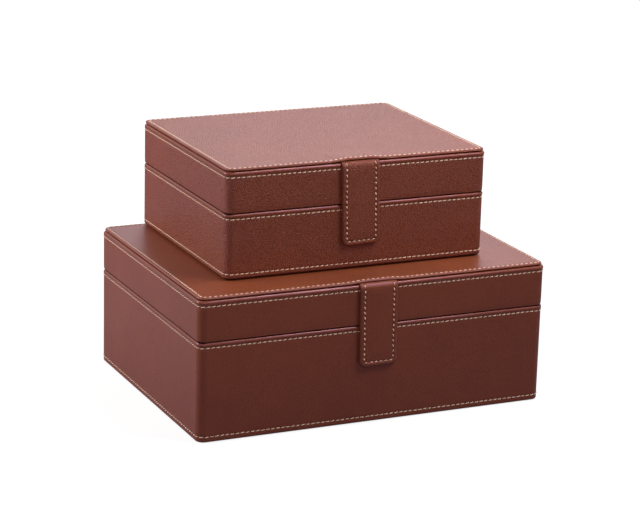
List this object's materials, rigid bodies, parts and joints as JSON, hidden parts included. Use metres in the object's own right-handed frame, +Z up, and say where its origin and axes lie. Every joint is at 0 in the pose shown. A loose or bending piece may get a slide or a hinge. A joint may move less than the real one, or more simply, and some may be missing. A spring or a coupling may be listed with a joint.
{
  "type": "stationery box",
  "caption": "Stacked pair of stitched leather-covered stationery boxes with hinged lids, raised top panels and magnetic closing tabs over the front.",
  "frame": {"origin": "middle of the large box's felt foot, on the surface it stands on", "axes": "+X to the right seen from the front, +Y towards the hinges at the back, +Z up"},
  "size_m": [0.33, 0.2504, 0.2275],
  "materials": {
    "chestnut_leather": "fine pebbled grain, satin",
    "thread": "waxed cream thread",
    "suede": "brushed suede",
    "felt": "pressed wool felt",
    "fibreboard": "raw",
    "hinge_brass": "satin lacquered",
    "magnet": "nickel plated"
  },
  "bodies": {
    "large_base": {"large_base_front_board": "fibreboard", "large_base_back_board": "fibreboard", "large_base_left_board": "fibreboard", "large_base_right_board": "fibreboard", "large_base_bottom_board": "fibreboard", "large_base_cover": "chestnut_leather", "large_base_lining": "suede", "large_base_floor_pad": "suede", "large_foot_felt": "felt", "large_base_magnet": "magnet", "large_base_hinge_leaves": "hinge_brass", "large_hinge_pins": "hinge_brass", "large_base_hinge_screws": "hinge_brass", "large_base_thread": "thread"},
    "large_lid": {"large_lid_front_board": "fibreboard", "large_lid_back_board": "fibreboard", "large_lid_left_board": "fibreboard", "large_lid_right_board": "fibreboard", "large_lid_top_board": "fibreboard", "large_lid_cover": "chestnut_leather", "large_lid_lining": "suede", "large_top_panel_board": "fibreboard", "large_top_panel_cover": "chestnut_leather", "large_lid_hinge_leaves": "hinge_brass", "large_lid_hinge_screws": "hinge_brass", "large_lid_thread": "thread", "large_tab_tongue": "chestnut_leather"},
    "large_tab": {"large_tab_strap": "chestnut_leather", "large_tab_magnet": "magnet", "large_tab_thread": "thread"},
    "small_base": {"small_base_front_board": "fibreboard", "small_base_back_board": "fibreboard", "small_base_left_board": "fibreboard", "small_base_right_board": "fibreboard", "small_base_bottom_board": "fibreboard", "small_base_cover": "chestnut_leather", "small_base_lining": "suede", "small_base_floor_pad": "suede", "small_foot_felt": "felt", "small_base_magnet": "magnet", "small_base_hinge_leaves": "hinge_brass", "small_hinge_pins": "hinge_brass", "small_base_hinge_screws": "hinge_brass", "small_base_thread": "thread"},
    "small_lid": {"small_lid_front_board": "fibreboard", "small_lid_back_board": "fibreboard", "small_lid_left_board": "fibreboard", "small_lid_right_board": "fibreboard", "small_lid_top_board": "fibreboard", "small_lid_cover": "chestnut_leather", "small_lid_lining": "suede", "small_top_panel_board": "fibreboard", "small_top_panel_cover": "chestnut_leather", "small_lid_hinge_leaves": "hinge_brass", "small_lid_hinge_screws": "hinge_brass", "small_lid_thread": "thread", "small_tab_tongue": "chestnut_leather"},
    "small_tab": {"small_tab_strap": "chestnut_leather", "small_tab_magnet": "magnet", "small_tab_thread": "thread"}
  },
  "joints": [
    {"name": "large_lid_hinge", "type": "hinge", "parent": "large_base", "child": "large_lid", "pos_m": [0, 0.12375, 0.0892], "axis": [-1, 0, 0], "range_deg": [0, 95]},
    {"name": "large_tab_fold", "type": "hinge", "parent": "large_lid", "child": "large_tab", "pos_m": [0, -0.12305, 0.125], "axis": [-1, 0, 0], "range_deg": [0, 110]},
    {"name": "small_box_lift", "type": "slide", "parent": "large_lid", "child": "small_base", "axis": [0, 0, 1], "range_m": [0, 0.15]},
    {"name": "small_lid_hinge", "type": "hinge", "parent": "small_base", "child": "small_lid", "pos_m": [-0.0015, 0.12375, 0.1869], "axis": [-1, 0, 0], "range_deg": [0, 95]},
    {"name": "small_tab_fold", "type": "hinge", "parent": "small_lid", "child": "small_tab", "pos_m": [-0.0015, -0.08255, 0.2229], "axis": [-1, 0, 0], "range_deg": [0, 110]}
  ]
}
